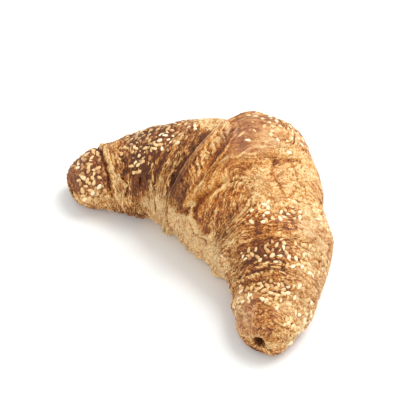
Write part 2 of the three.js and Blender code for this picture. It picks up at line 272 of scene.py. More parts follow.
# Noise that both the relief and the bake follow: its size in mm across and along the fibres, its
# random seed and, for leaves, how many levels they lie in
LARGE_LEAVES = (5, 13, 51, 5)
SMALL_LEAVES = (2.6, 6, 55, 3)
PULLED_FIBRES = (1.9, 7, 81)
CRACKS = (6, 6, 91)
TEETH_SPACING = 2.1  # of the torn skin
TIP_CARRY = 12  # how far the relief runs on over a tip's end
SPIRAL_TURNS = 4.5  # layers round a tip's hole
HOLE_NARROWING = 0.45
FRAME_REACH = 0.9  # to either side of a seed or flake, to find which way the crust faces

# Sesame: where it was scattered and how thickly, in tries, and single seeds one by one
SEED_BANDS = (  # along, around, tries, how much darker
    # the left tip's and left arm's seeds are darker partly as painted shade, since that side lies
    # away from the light
    ("left tip", (-93, -77), (-25, 186), 290, 0.24),
    ("left arm's pale cluster", (-47.5, -39), (84, 107), 130, -0.32),
    ("left arm", (-68, -33), (-15, 108), 3000, 0.34),
    ("left arm's upper seeds", (-41, -28), (48, 84), 130, -0.14),
    ("left arm's lower seeds", (-63, -49), (108, 134), 50, 0.15),
    ("crown's seeds", (-10, 11), (34, 66), 170, -0.12),
    ("tongue's outer side", (-8, 11), (-15, 60), 900, 0.0),
    ("right first wrap's row", (35, 41), (36, 110), 260, -0.05),
    ("right first wrap", (34, 43.5), (-15, 114), 1150, 0.0),
    ("right second wrap", (51, 65), (-10, 106), 760, 0.16),
    ("right second wrap's lower seeds", (53, 63), (108, 137), 60, 0.1),
    ("right third wrap", (71.5, 83.5), (52, 154), 820, 0.18),
    ("right third wrap's outer side", (72, 90), (-15, 48), 150, 0.0),
    ("right tip towards the bay", (76, 86), (150, 176), 50, 0.0),
)
SINGLE_SEEDS = (  # s, angle, toast
    (-3.5, 70, 0.8), (0, 74, 0.5), (2.5, 83, 0.0), (5.5, 67, 0.4), (8, 61, 0.9), (14.5, 60, 0.0),
    (43.5, 103, 0.05), (43, 85, 0.1), (47, 162, 0.35), (84.5, 75, 0.1),
)
SEED_SPACING = 2.1
SEED_CLUMP = 8  # size of the thick and thin places in a band
SEED_TOAST = (0.42, 0.24)  # middle and spread
SEED_LEAN = 11  # degrees
SEED_SCALES = (0.82, 1.12)
SEED_LIFT = 0.4  # at most

# Loose leaves of crust as (s, angle, how many), and whiskers along the rim over the ground
FLAKE_STRETCHES = (
    ((-47, -26), (105, 190), 18), ((-76, -62), (60, 190), 16), ((62, 71), (70, 165), 18),
    ((38, 50), (120, 195), 14), ((-14, 0), (80, 138), 6), ((8, 44), (20, 150), 12),
    ((-40, 60), (-10, 60), 24), ((88, 94), (20, 170), 5),
)
FLAKE_THICKNESS = 0.16
WHISKER_STRETCHES = (((-46, 48), 70), ((-46, -28), 50))
WHISKER_ANGLES = (192, 208)
WHISKER_THICKNESS = 0.25

# The view: where the camera stands round the croissant, and the spot at the photograph's middle
VIEW_AZIMUTH = 46.78
VIEW_ELEVATION = 47.21
VIEW_DISTANCE = 900.0
SPOT_RIGHT = -13.86
SPOT_UP = 8.09
FOCAL_PIXELS = 1701.3
PHOTO_PIXELS = 420
SENSOR = 36.0
LIGHTS = (  # name, metres to the right of the view, away from it and up, power, size
    ("key_light", (0.58, 0.32, 1.05), 15.0, 0.85),
    ("fill_light", (-0.95, -0.95, 0.55), 7.0, 1.2),
)
SKY_COLOUR = (0.97, 1, 1, 1)
SKY_STRENGTH = 0.8
FLOOR_REACH = 4.0


def linear(hex_colour):
    """An sRGB hex colour as linear red, green and blue."""
    channels = np.array([int(hex_colour[i:i + 2], 16) for i in (1, 3, 5)]) / 255
    curved = ((channels + 0.055) / 1.055) ** 2.4
    return tuple(np.where(channels <= 0.04045, channels / 12.92, curved))


def size_property(name, description, millimetres):
    """A length in the panel, in metres."""
    return bpy.props.FloatProperty(
        name=name, description=description, default=millimetres * MM, min=0.0,
        unit="LENGTH", precision=4
    )


def colour_property(name, description, hex_colour):
    """A colour in the panel, linear."""
    return bpy.props.FloatVectorProperty(
        name=name, description=description, default=linear(hex_colour), subtype="COLOR",
        min=0.0, max=1.0
    )


class CroissantSizes(bpy.types.PropertyGroup):
    """The croissant's sizes"""

    spine_radius: size_property("Bend radius", "Radius of the crescent's middle line", 76)
    half_length: size_property("Half length", "From the middle to either tip, along the bend", 96.2)
    belly_half_width: size_property("Belly half width", "Half the roll's width at the middle", 31.3)
    belly_half_height: size_property(
        "Belly half height", "Half the roll's height at the middle", 26.6)
    tongue_thickness: size_property("Tongue thickness", "How far the tongue stands proud", 5.4)
    seed_length: size_property("Seed length", "Length of a sesame seed", 3.55)
    seed_width: size_property("Seed width", "Width of a sesame seed", 2.2)
    seed_thickness: size_property("Seed thickness", "Thickness of a sesame seed", 1.2)
    flake_length: size_property("Flake length", "Length of a loose flake of crust", 4.5)
    relief: bpy.props.FloatProperty(
        name="Crust relief", description="Strength of the fine layers and cracks", default=1.0,
        min=0.0, max=2.0, subtype="FACTOR",
    )


class CroissantColours(bpy.types.PropertyGroup):
    """The colours of the crust, the seeds and the floor"""

    pale: colour_property("Pale dough", "Least baked crust, in the folds", "#ebcb98")
    tan: colour_property("Tan crust", "Lightly baked crust", "#c38c4b")
    brown: colour_property("Brown crust", "Well baked crust", "#8e5323")
    # the dark colour also serves as painted shade in the hollows
    dark: colour_property("Dark crust", "Scorched crust and hollows", "#4f2b14")
    gold_pale: colour_property("Pale gold", "Egg-washed crust, lightest", "#f6d392")
    gold: colour_property("Gold", "Egg-washed crust", "#da8f38")
    gold_brown: colour_property("Golden brown", "Egg-washed crust, well baked", "#a85817")
    gold_dark: colour_property("Dark gold", "Egg-washed crust, darkest", "#63300f")
    mauve_pale: colour_property("Pale mauve", "Smooth stretched crust, lightest", "#d6a881")
    mauve: colour_property("Mauve brown", "Smooth stretched crust", "#a97350")
    mauve_dark: colour_property("Dark mauve", "Smooth stretched crust, darkest", "#663a2a")
    seed_ivory: colour_property("Ivory seed", "Raw sesame", "#f1dfba")
    seed_golden: colour_property("Golden seed", "Baked sesame", "#e2bc80")
    seed_toasted: colour_property("Toasted seed", "Darkest sesame", "#a8703a")
    floor: colour_property("Floor", "Plain pale floor", "#f4f4f3")


def smooth(x):
    """The smooth step from 0 to 1: three x squared less two x cubed."""
    t = np.clip(x, 0, 1)
    return t * t * (3 - 2 * t)


def bell(x):
    """The bell curve, e to the power of minus x squared."""
    return np.exp(-x * x)


def noise(x, y, size_x, size_y, seed):
    """Smooth random relief from -1 to 1. Each corner of a grid of cells, size_x by size_y
    millimetres, holds a slope in a random direction, and the four slopes round a point are
    blended with the smooth step."""
    turn = np.random.default_rng(seed).uniform(0, 2 * np.pi, (256, 256))
    u, v = np.broadcast_arrays(x / size_x, y / size_y)
    i = np.floor(u).astype(int)
    j = np.floor(v).astype(int)
    total = np.zeros(u.shape)
    for di in (0, 1):
        for dj in (0, 1):
            a = turn[(i + di) % 256, (j + dj) % 256]
            across, up = u - i - di, v - j - dj
            slope = np.cos(a) * across + np.sin(a) * up
            total += smooth(1 - abs(across)) * smooth(1 - abs(up)) * slope
    return 1.6 * total


def fractal(x, y, size_x, size_y, seed, octaves=4):
    """The noise added up over octaves, each half as large and 0.55 as strong as the last."""
    return sum(
        0.55**o * noise(x, y, size_x / 2**o, size_y / 2**o, seed + o) for o in range(octaves))


def crests(x, y, size_x, size_y, seed, width=0.25):
    """1 on the winding lines where the noise crosses zero, falling to 0 at width beside them."""
    return bell(fractal(x, y, size_x, size_y, seed, 2) / width)


def ridges(x, y, size_x, size_y, seed, octaves=2):
    """Sharp crumpled ridges: one less three times the size of the noise, over octaves each half
    as large and half as strong as the last."""
    return sum(
        0.5**o * (1 - 3 * abs(noise(x, y, size_x / 2**o, size_y / 2**o, seed + o)))
        for o in range(octaves))


def leaves(x, y, size_x, size_y, seed, levels):
    """Thin leaves of crust lying on one another: the noise cut into level steps, from 0 to 1.
    Gives their height, and 1 along the foot of each step, where the leaf above it ends."""
    height = (fractal(x, y, size_x, size_y, seed, 3) * 0.7 + 1) / 2 * levels
    whole = np.floor(height)
    past = height - whole - 0.7
    return (whole + smooth(past / 0.3)) / levels, bell(past / 0.1)


def part(s, angle, along, around, soft=3.0, soft_degrees=9.0):
    """1 inside a stretch of the crust, falling smoothly to 0 across its borders."""
    def between(x, low, high, border):
        return smooth((x - low) / border + 0.5) * smooth((high - x) / border + 0.5)

    return between(s, *along, soft) * between(angle, *around, soft_degrees)


def line_distance(s, angle, points):
    """Millimetres on the crust from each place to the nearest stretch of a line of points."""
    x, y = s, angle * MM_PER_DEGREE
    nearest = np.full(np.broadcast(x, y).shape, 1e9)
    for (s0, a0), (s1, a1) in zip(points, points[1:]):
        run, rise = s1 - s0, (a1 - a0) * MM_PER_DEGREE
        right, up = x - s0, y - a0 * MM_PER_DEGREE
        share = np.clip((right * run + up * rise) / (run**2 + rise**2), 0, 1)
        nearest = np.minimum(nearest, np.hypot(right - share * run, up - share * rise))
    return nearest


def wavering(s, angle):
    """A place moved by up to a millimetre of noise, which makes the lines on the crust waver."""
    y = angle * MM_PER_DEGREE
    return s + 1.1 * fractal(s, y, 5, 5, 97, 3), angle + 2.2 * fractal(s, y, 5, 5, 197, 3)


def read_line(points, place):
    """A value read off a line of (place, value) points."""
    return np.interp(place, *zip(*points))


def first_turn(angle):
    """The share of a turn from the tongue's tip back over the outside to this angle."""
    return ((TONGUE_TIP_ANGLE - angle) % 360) / 360


def dough_edge(points, turn):
    """The dough's edge at a turn, starting at the middle of the tongue's round tip."""
    reach = np.clip(turn * 360 / TONGUE_TIP_ROUNDING, 0, 1)
    return TONGUE_TIP_S + (read_line(points, turn) - TONGUE_TIP_S) * np.sqrt(1 - (1 - reach) ** 2)


def wraps(s, angle, tongue_thickness):
    """Lays the four wraps on one another. Each adds its thickness inside its own edges, with a
    rounded edge, a crease beside it and a swelling where it shows. Gives the height, how far
    inside the topmost wrap's edge a place is, how much a sharp edge beside it shades it, and
    which wrap is topmost."""
    y = angle * MM_PER_DEGREE
    height = np.zeros(np.broadcast(s, angle).shape)
    inside_top = np.full(height.shape, 50.0)
    shade = np.zeros(height.shape)
    top = np.full(height.shape, 4)
    for wrap in range(3, -1, -1):
        turn = first_turn(angle) + wrap
        fray = 0.7 * noise(y, 40.0 * wrap, 6, 7, 11 + wrap)
        fray += 0.35 * noise(y, 40.0 * wrap, 1.7, 7, 21 + wrap)
        settled = smooth(turn * 12)  # no fray where the edges meet at the tongue's tip
        right = dough_edge(RIGHT_EDGE, turn) + fray * settled
        left = dough_edge(LEFT_EDGE, turn) + fray * settled
        inside = np.minimum(right - s, s - left)
        outside = inside < 0
        step = read_line(((0, tongue_thickness),) + WRAP_THICKNESS[1:], turn)
        right_spread, left_spread = read_line(RIGHT_SPREAD, turn), read_line(LEFT_SPREAD, turn)
        for past, spread in ((right - s, right_spread), (s - left, left_spread)):
            sharp = np.sqrt(1 - (1 - np.clip(past / WRAP_EDGE_WIDTH, 0, 1)) ** 2)
            step = step * (sharp + spread * (smooth(0.5 + past / SPREAD_WIDTH) - sharp))
            crease = (1 - spread) * CREASE_DEPTH * bell(past / CREASE_WIDTH) * settled
            height -= np.where(past < 0, crease, 0)
            shade = np.where(past < 0, np.maximum(shade, (1 - spread) * bell(past)), shade)
        height += step
        if wrap:
            over_right = dough_edge(RIGHT_EDGE, turn - 1)
            over_left = dough_edge(LEFT_EDGE, turn - 1)
            shows = np.where(s > 0, right - over_right, over_left - left)
            spread = np.where(s > 0, right_spread, left_spread)
            across = np.clip(inside / shows, 0, 1)
            puffed = (1 - spread) * WRAP_PUFF * shows * 4 * across * (1 - across)
            height += np.where(outside, 0, puffed)
        inside_top = np.where(outside, inside_top, inside)
        shade = np.where(outside, shade, 0)
        top = np.where(outside, top, wrap)
    return height, inside_top, shade, top


def swelling(s, angle):
    """The roll's larger rises and hollows, bell curves along and round it, and slow waves."""
    rise = np.zeros(np.broadcast(s, angle).shape)
    for amount, middle, spread, towards, turn in SWELLINGS:
        aside = (angle - towards + 180) % 360 - 180
        rise += amount * bell((s - middle) / spread) * bell(aside / turn)
    for amount, wave, turns, phase in LUMPS:
        rise += amount * np.sin(2 * np.pi * s / wave + turns * np.radians(angle) + phase)
    return rise


def turned_about(s, y, middle_s, middle_y, degrees):
    """A place turned about a middle, by degrees that may differ from place to place."""
    turn = np.radians(degrees)
    right, up = s - middle_s, y - middle_y
    turned_s = middle_s + right * np.cos(turn) - up * np.sin(turn)
    return turned_s, middle_y + right * np.sin(turn) + up * np.cos(turn)


def fibre_place(s, angle):
    """How far a place lies across the crust's fibres and along them, in millimetres. They run
    round the roll, but are pulled 50 degrees aside over the pillow beside the tongue and 60
    degrees the other way over the tongue's root, and they wander by 1.5 mm of noise."""
    y = angle * MM_PER_DEGREE
    on_pillow = part(s, angle, (2, 36), (98, 168), 9, 26)
    on_root = part(s, angle, (-6, 14), (52, 100), 9, 26)
    across, along = turned_about(s, y, 17, 61, 50 * on_pillow)
    across, along = turned_about(across, along, 4, 37, -60 * on_root)
    return across + 1.5 * fractal(s, y, 11, 15, 36, 2), along


def layered(s, angle):
    """How clearly the dough's layers show, from 0 to about 1.3."""
    shown = (share * part(s, angle, along, around) for share, along, around in LAYERED_PARTS)
    return FAINT_LAYERS + sum(shown)


def layer_wave(s, y, inside, top):
    """The dough's layers, 1.5 mm apart, from -1 to 1: a sine wave of the distance from the
    wrap's edge, or from the middle where no wrap covers the core, bent by noise."""
    apart = np.where(top < 4, inside, abs(s))
    wave = np.sin(2 * np.pi * (apart / LAYER_SPACING + 0.6 * fractal(s, y, 9, 9, 31, 3)))
    return wave * (0.7 + 0.5 * noise(s, y, 5, 12, 35))


def strata(s, angle):
    """The crisp lines of the layers' edges, which run along the fibres: sharp ridges 22 mm long
    and 1.8 mm apart, and finer ones between. They fade on the bay's face."""
    across, along = fibre_place(s, angle)
    lines = ridges(across, along, 1.8, 22, 47, 1) + 0.6 * ridges(across, along, 1.1, 11, 48, 1)
    return lines * fibrous(s, angle)


def fibrous(s, angle):
    """How clearly the fibres show: less on the bay's face, the shoulder and the tongue's skin."""
    on_face = part(s, angle, (-45, 45), (160, 225))
    on_shoulder = part(s, angle, (12, 40), (10, 100))
    on_skin = part(s, angle, (-22, 13), (96, 160))
    return (1 - 0.65 * on_face) * (1 - 0.5 * on_shoulder) * (1 - 0.75 * on_skin)


def comb(s, y):
    """Torn skin's crumpled teeth, which run along the croissant about 2 mm apart: a sharp-edged
    triangle wave round the roll, bent and made uneven by noise."""
    bent = y + 1.6 * noise(40.5, y, 1, 4, 60) + 0.9 * noise(s, y, 3, 2.5, 61) - 0.4 * s
    place = bent / TEETH_SPACING
    teeth = 1 - 4 * abs(place - np.floor(place) - 0.5)
    return (abs(0.5 + 0.5 * teeth) ** 1.6 * 2 - 0.8) * (0.6 + 1.1 * noise(s, y, 3.5, 2.2, 62))


def crinkled(s, angle, from_left):
    """Where the tongue's skin is torn into crinkles, beside its cord, with a ragged far side."""
    ragged = s + 2.4 * noise(s, angle * MM_PER_DEGREE, 5, 2.2, 64)
    return smooth((from_left - 4.4) / 1.6) * part(ragged, angle, (-20, -4.5), (78, 140), 2.5)


def tongue_place(s, angle):
    """Millimetres in from the tongue's left edge, and from its right one."""
    turn = first_turn(angle)
    return s - dough_edge(LEFT_EDGE, turn), dough_edge(RIGHT_EDGE, turn) - s


def tongue_relief(s, angle, top):
    """The tongue's own relief in millimetres: bell curves of the distance from its edges make a
    smooth cord along the left one, a hollow outside that and a thin lip along the right one, the
    comb makes a strip torn into crinkles, and noise roughens a swollen, scorched tip."""
    y = angle * MM_PER_DEGREE
    from_left, from_right = tongue_place(s, angle)
    on_tongue = smooth((from_left + 0.5) / 1.5) * (top == 0)
    relief = on_tongue * part(s, angle, (-42, 30), (76, 150), 3, 30) * (
        1.7 * bell((from_left - 2.6) / 2.1) - 0.3 * bell((from_left - 1.4) / 0.45)
        - 0.3 * bell((from_left - 3.3) / 0.45) - 0.7 * bell((from_left - 5.4) / 0.9))
    relief -= 1.6 * bell((from_left + 3.0) / 3.2) * part(s, angle, (-42, -12), (92, 148), 4, 26)
    crinkles = 0.4 + 0.62 * comb(s, y) + 0.45 * fractal(s, y, 2.2, 1.6, 65, 3)
    relief += on_tongue * crinkled(s, angle, from_left) * crinkles
    scorched = 0.35 * fractal(s, y, 4, 3, 71, 3) + 0.2 * ridges(s, y, 3, 3, 75)
    relief += on_tongue * part(s, angle, (-24, -4), (136, 165)) * scorched
    relief += on_tongue * 1.8 * bell((s + 14) / 8) * bell((angle - 149) / 11)
    lip = 0.25 * bell((from_right - 0.8) / 0.5) * part(s, angle, (-8, 20), (84, 154))
    return relief + on_tongue * lip


def fine_relief(s, angle, inside, top):
    """Layers, cracks, pits and flaking, in millimetres above the wraps, and the tongue's own
    relief. Layers are waves of the distance from the wrap's edge; the rest is noise inside
    stated parts, and bell curves of the distance from each line and each pit's middle."""
    y = angle * MM_PER_DEGREE
    across, along = fibre_place(s, angle)
    relief = 0.2 * fractal(s, y, 5, 5, 41, 4) + 0.07 * ridges(s, y, 2.2, 2.2, 45)
    relief += 0.17 * strata(s, angle)
    flaky = 0.5 + 0.5 * part(s, angle, (-50, 60), (100, 215))
    relief += flaky * 0.8 * (leaves(across, along, *LARGE_LEAVES)[0] - 0.5)
    relief += flaky * 0.35 * (leaves(across, along, *SMALL_LEAVES)[0] - 0.5)
    on_root, on_tips = part(s, angle, (-9, 16), (20, 98)), part(abs(s), angle, (84, 99), (0, 190))
    relief *= 1 - 0.6 * on_root - 0.4 * on_tips
    relief += 0.3 * layered(s, angle) * layer_wave(s, y, inside, top)
    relief += tongue_relief(s, angle, top)
    # fibres pulled out over the pillow, towards the tip and the bay at once
    pulled = ridges(across, along, *PULLED_FIBRES) + fractal(across, along, 1.5, 3, 83, 2)
    relief += 0.3 * pulled * part(s, angle, (3, 40), (96, 166))
    # rough and sunken crust left of the tongue
    relief += 0.35 * part(s, angle, (-33, -17), (62, 150)) * ridges(s, y, 4, 3, 85)
    relief -= 1.2 * part(s, angle, (-30, -24), (112, 142), 4, 12)
    # crackled skin on the shoulder and everywhere a little, and a ragged rim over the ground
    crackled = 0.12 + 0.28 * part(s, angle, (8, 42), (10, 80))
    relief -= crackled * crests(s, y, *CRACKS, 0.10)
    ragged = 1.1 * part(s, angle, (-80, 80), (186, 216), 5, 12)
    ragged += 0.7 * part(s, angle, (-48, -26), (190, 212), 5, 12)
    relief += ragged * fractal(s, y, 2.6, 5, 95, 3)
    wavered = wavering(s, angle)
    for _, points, height, width, _ in CRUST_LINES:
        relief += height * bell(line_distance(*wavered, points) / width)
    for middle, towards, half_length, half_width, depth in PITS:
        down = ((s - middle) / half_length) ** 2
        down = down + ((y - towards * MM_PER_DEGREE) / half_width) ** 2
        relief -= depth * np.exp(-(down**1.5))
    return relief


def crust_point(form, s, angle, share):
    """A place on the crust in metres, its relief, and what the wraps say of it. The middle line
    is an arc; from it the section reaches outward by the half width times the cosine of the
    angle, and upward by the half height times its sine, each with the wraps and relief added.
    The underside is cut flat. The share shrinks the section to close the tips round their
    holes."""
    length, radius = form.half_length / MM, form.spine_radius / MM
    half_width, half_height = form.belly_half_width / MM, form.belly_half_height / MM
    tip = np.where(s < 0, LEFT_TIP_SHARE, RIGHT_TIP_SHARE)
    taper = tip + (1 - tip) * np.cos(np.pi / 2 * np.minimum(abs(s) / length, 1)) ** TAPER_POWER
    walked = s + np.sign(s) * (1 - share) * TIP_CARRY
    height, inside, shade, top = wraps(s, angle, form.tongue_thickness / MM)
    fine = form.relief * fine_relief(walked, angle, inside, top) * (0.35 + 0.65 * smooth(share))
    grown = height + swelling(s, angle) + fine
    # the open end of the roll: a spiral of layers round a torn rim
    y = angle * MM_PER_DEGREE
    spiral = 0.5 - 0.5 * np.cos(2 * np.pi * (SPIRAL_TURNS * share + angle / 360))
    torn = 0.5 + 0.5 * noise(y, 8 * share, 3, 3, 99)
    sunk = smooth((0.95 - share) / 0.3) * (0.7 * spiral + 0.9 * torn)
    bend = (s - np.sign(s) * sunk) / radius
    wide = half_width * taper - WRAP_ALLOWANCE[0] + grown
    tall = half_height * taper - WRAP_ALLOWANCE[1] + grown
    outward = radius + wide * np.cos(np.radians(angle)) * share
    upward = tall * np.sin(np.radians(angle)) * share
    z = AXIS_HEIGHT_SHARE * half_height * taper + upward
    rounded = (z + UNDERSIDE_ROUNDING) ** 2 / (4 * UNDERSIDE_ROUNDING)
    z = np.where(z > UNDERSIDE_ROUNDING, z, np.where(z < -UNDERSIDE_ROUNDING, 0, rounded))
    x = outward * np.sin(bend) + CENTRE_SHIFT[0]
    y = outward * np.cos(bend) - radius + CENTRE_SHIFT[1]
    return np.stack([x, y, z], -1) * MM, fine, inside, shade, top


def tongue_baking(s, angle, top):
    """What the tongue adds to how dark, how golden and how mauve the crust is. Its cord is smooth
    and greyish, its strip red-brown between the crinkles, partly its own colour and partly painted
    shade, and its right rim golden. Painted shade also darkens the furrow beside the cord and the
    hollow outside its left edge."""
    y = angle * MM_PER_DEGREE
    from_left, from_right = tongue_place(s, angle)
    on_tongue = (top == 0).astype(float)
    cord = on_tongue * smooth((5.0 - from_left) / 1.2) * part(s, angle, (-42, 30), (62, 148))
    strip = on_tongue * crinkled(s, angle, from_left)
    rim = on_tongue * bell((from_right - 1.3) / 1.4) * part(s, angle, (-8, 20), (84, 154))
    darker = cord * (
        0.2 + 0.3 * fractal(from_left, y, 1.0, 14, 171, 2) - 0.25 * bell((from_left - 2.3) / 0.5)
        + 0.2 * bell((from_left - 1.3) / 0.4) + 0.2 * bell((from_left - 3.4) / 0.4))
    # painted shade in the furrow beside the cord
    furrow = 0.12 * bell((from_left - 5.4) / 0.8) * part(s, angle, (-42, 30), (70, 142))
    darker += on_tongue * furrow
    # darker between the crinkles: partly the strip's colour, partly painted shade in the valleys
    darker += strip * (
        0.5 * smooth(0.3 - 1.1 * comb(s, y)) - 0.22 + 0.16 * smooth((s + 9) / 5))
    # painted shade in the hollow outside the tongue's left edge
    darker += 0.24 * bell((from_left + 1.6) / 1.8) * part(s, angle, (-42, -12), (84, 152))
    return darker - 0.1 * rim, 0.3 * rim - 0.6 * cord, 0.45 * cord


def baking(s, angle, fine, inside, shade, top):
    """How dark, how golden and how mauve each place is: the parts' own bake, paler on the lips,
    with streaks, and painted light and shade that follow the relief: paler on the fine crests,
    darker in the pits, the creases and under each leaf."""
    y = angle * MM_PER_DEGREE
    warp = 2.2 * fractal(s, y, 12, 12, 103, 3)
    bake, gold, mauve = (np.full(fine.shape, value) for value in PLAIN_BAKE)
    for _, along, around, (darker, golder, purpler) in BAKED_PARTS:
        here = part(s + 1.3 * warp, angle + 3 * warp, along, around, 6, 18)
        bake += here * darker
        gold += here * golder
        mauve += here * purpler
    across, along = fibre_place(s, angle)
    bake += 0.1 * fractal(across, along, 2.2, 12, 111, 3) * fibrous(s, angle)
    bake -= 0.07 * strata(s, angle)
    bake += 0.13 * fractal(s, y, 8, 8, 121, 4) + 0.05 * fractal(s, y, 1.6, 1.6, 131, 2)
    gold += 0.25 * fractal(s, y, 5, 5, 141, 3)
    bake -= 0.2 * layered(s, angle) * layer_wave(s, y, inside, top)
    # painted light and shade from the fine relief: paler where it stands high, darker where it
    # sinks, and darkest in the deepest pits
    bake -= 0.2 * np.clip(fine, -0.9, 1.1)
    bake += 0.4 * smooth((-fine - 0.9) / 1.2)
    # painted shade along the foot of each leaf, under the edge of the leaf above
    for weight, sizes in ((0.2, LARGE_LEAVES), (0.1, SMALL_LEAVES)):
        bake += weight * leaves(across, along, *sizes)[1]
    pored = 0.3 + part(s, angle, (-40, 60), (150, 225)) + part(s, angle, (-34, -17), (60, 112))
    bake += 0.4 * pored * smooth((noise(s, y, 0.9, 0.9, 151) - 0.35) / 0.2)
    turn = first_turn(angle) + top
    lip = 1 - np.where(s > 0, read_line(RIGHT_SPREAD, turn), read_line(LEFT_SPREAD, turn))
    bake -= 0.2 * lip * (top > 0) * bell((inside - 0.8) / 0.8)
    # painted shade in the crease beside a sharp edge, with the whole crust a little paler
    bake += 0.28 * shade - 0.05
    bake += 0.08 * crests(s, y, *CRACKS, 0.08) * part(s, angle, (8, 42), (10, 90))
    pulled = 0.1 - 0.1 * ridges(across, along, *PULLED_FIBRES)
    pulled = pulled + 0.14 * fractal(across, along, 4, 9, 161, 2)
    bake += pulled * part(s, angle, (3, 34), (100, 164))
    darker, golder, purpler = tongue_baking(s, angle, top)
    bake, gold, mauve = bake + darker, gold + golder, mauve + purpler
    wavered = wavering(s, angle)
    # each line's own darkness; for the shadows, the gaps and the fold it is painted shade
    for _, points, _, width, darker in CRUST_LINES:
        line = bell(line_distance(*wavered, points) / (1.25 * width))
        bake += darker * line
        gold -= min(darker, 0) * line
    return np.clip(bake, 0, 1), np.clip(gold, 0, 1), np.clip(mauve, 0, 1)


def crust_stations(form):
    """The rings along the croissant: even ones along the body, a quarter of a blunt rounding
    over each tip, then down into the tip's hole. Gives s and the section's share at each."""
    straight = form.half_length / MM - TIP_LENGTH
    body = np.linspace(-straight, straight, BODY_RINGS)
    quarter = np.linspace(0, np.pi / 2, TIP_RINGS + 1)[1:]
    tip = straight + TIP_LENGTH * np.sin(quarter) ** TIP_BLUNTNESS
    tip_share = TIP_RIM_SHARE + (1 - TIP_RIM_SHARE) * np.cos(quarter) ** TIP_BLUNTNESS
    down = np.linspace(0, 1, HOLE_RINGS + 1)[1:-1]
    hole = form.half_length / MM - TIP_HOLE_DEPTH * down
    hole_share = TIP_RIM_SHARE * (1 - HOLE_NARROWING * down)
    end = np.concatenate([tip, hole])
    end_share = np.concatenate([tip_share, hole_share])
    s = np.concatenate([-end[::-1], body, end])
    share = np.concatenate([end_share[::-1], np.ones(BODY_RINGS), end_share])
    return s, share


def crust_angles():
    """Angles round the section from -90 to 270, closest together on top and towards the bay."""
    fine = np.linspace(-90, 270, 721)
    seen = part(fine, fine, (0, 215), (0, 215), 30, 30)
    density = UNDERSIDE_DENSITY + (1 - UNDERSIDE_DENSITY) * seen
    total = np.concatenate([[0], np.cumsum((density[1:] + density[:-1]) / 2)])
    return np.interp(np.arange(SIDES) / SIDES * total[-1], total, fine)


def mesh_piece(name, points, faces, material, attributes):
    """A smooth mesh object at the origin, with one number for each vertex in each attribute."""
    mesh = bpy.data.meshes.new(name)
    mesh.from_pydata(points.tolist(), [], faces)
    mesh.update()
    mesh.polygons.foreach_set("use_smooth", np.ones(len(mesh.polygons), bool))
    for label, values in attributes.items():
        layer = mesh.attributes.new(label, "FLOAT", "POINT")
        layer.data.foreach_set("value", np.ascontiguousarray(values, np.float32).ravel())
    mesh.materials.append(material)
    piece = bpy.data.objects.new(name, mesh)
    bpy.context.collection.objects.link(piece)
    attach(piece, "root")
    return piece


def tube_faces(rings, sides, first=0):
    """Quads of a closed tube of rings, each with the same number of sides."""
    ring, side = np.meshgrid(np.arange(rings - 1), np.arange(sides), indexing="ij")
    a = ring * sides + side
    b = ring * sides + (side + 1) % sides
    return (np.stack([a, b, b + sides, a + sides], -1).reshape(-1, 4) + first).tolist()


def capped_tube_faces(rings, sides):
    """Faces of a closed tube of rings whose two ends close on the two points after the rings."""
    faces = tube_faces(rings, sides)
    last = rings * sides
    for side in range(sides):
        following = (side + 1) % sides
        faces.append([last, following, side])
        faces.append([last + 1, last - sides + side, last - sides + following])
    return faces


def add_node(tree, kind, inputs=None, stops=None, **settings):
    """Adds a node, makes its settings, and gives each input its value or its link, which is a
    socket or a node whose first output is meant."""
    node = tree.nodes.new(kind)
    for key, value in settings.items():
        setattr(node, key, value)
    for key, value in (inputs or {}).items():
        if isinstance(value, bpy.types.Node):
            value = value.outputs[0]
        if isinstance(value, bpy.types.NodeSocket):
            tree.links.new(value, node.inputs[key])
        else:
            node.inputs[key].default_value = value
    for number, (place, colour) in enumerate(stops or ()):
        elements = node.color_ramp.elements
        stop = elements[number] if number < 2 else elements.new(place)
        stop.position = place
        stop.color = (*colour, 1)
    return node


def new_material(name):
    """An empty material with its node tree."""
    material = bpy.data.materials.new(name)
    material.use_nodes = True
    material.node_tree.nodes.clear()
    return material, material.node_tree


def per_mm(size):
    """A texture's scale for features of this size in millimetres."""
    return 1 / (size * MM)


